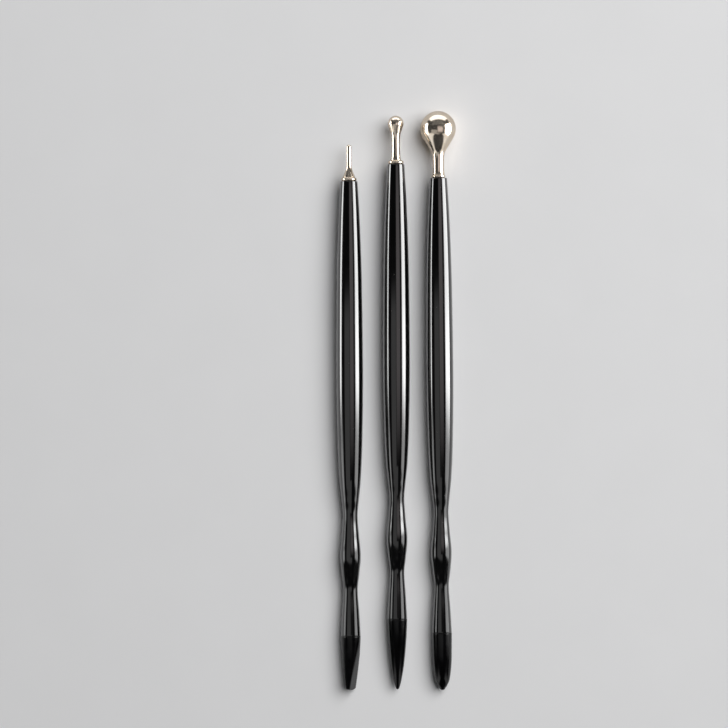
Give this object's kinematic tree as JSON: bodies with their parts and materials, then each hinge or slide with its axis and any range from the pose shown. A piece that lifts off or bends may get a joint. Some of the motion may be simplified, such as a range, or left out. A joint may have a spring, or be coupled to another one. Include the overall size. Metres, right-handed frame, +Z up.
{
  "type": "clay shaper tool set",
  "caption": "Set of double-ended clay shaping tools: glossy black turned handles with metal needle and ball points at one end and shaped rubber tips at the other.",
  "frame": {"origin": "on the surface the tools lie on, under the middle of the set's box", "axes": "+Z up, +Y along the tools towards their metal ends, +X across the set from the needle tool to the large ball tool"},
  "size_m": [0.042, 0.2042, 0.0125],
  "materials": {
    "black_lacquer": "glossy black, mirror smooth",
    "nickel_plate": "polished warm nickel plate",
    "black_rubber": "satin black silicone rubber"
  },
  "bodies": {
    "small_ball_tool": {"small_ball_tool_handle": "black_lacquer", "small_ball_tool_collar": "nickel_plate", "small_ball_tool_ball": "nickel_plate", "small_ball_tool_cone_tip": "black_rubber"},
    "needle_tool": {"needle_tool_handle": "black_lacquer", "needle_tool_collar": "nickel_plate", "needle_tool_needle": "nickel_plate", "needle_tool_chisel_tip": "black_rubber"},
    "large_ball_tool": {"large_ball_tool_handle": "black_lacquer", "large_ball_tool_collar": "nickel_plate", "large_ball_tool_ball": "nickel_plate", "large_ball_tool_round_tip": "black_rubber"}
  },
  "joints": [
    {"name": "needle_tool_lift", "type": "slide", "parent": "small_ball_tool", "child": "needle_tool", "axis": [0, 0, 1], "range_m": [0, 0.06]},
    {"name": "large_ball_tool_lift", "type": "slide", "parent": "small_ball_tool", "child": "large_ball_tool", "axis": [0, 0, 1], "range_m": [0, 0.06]}
  ]
}
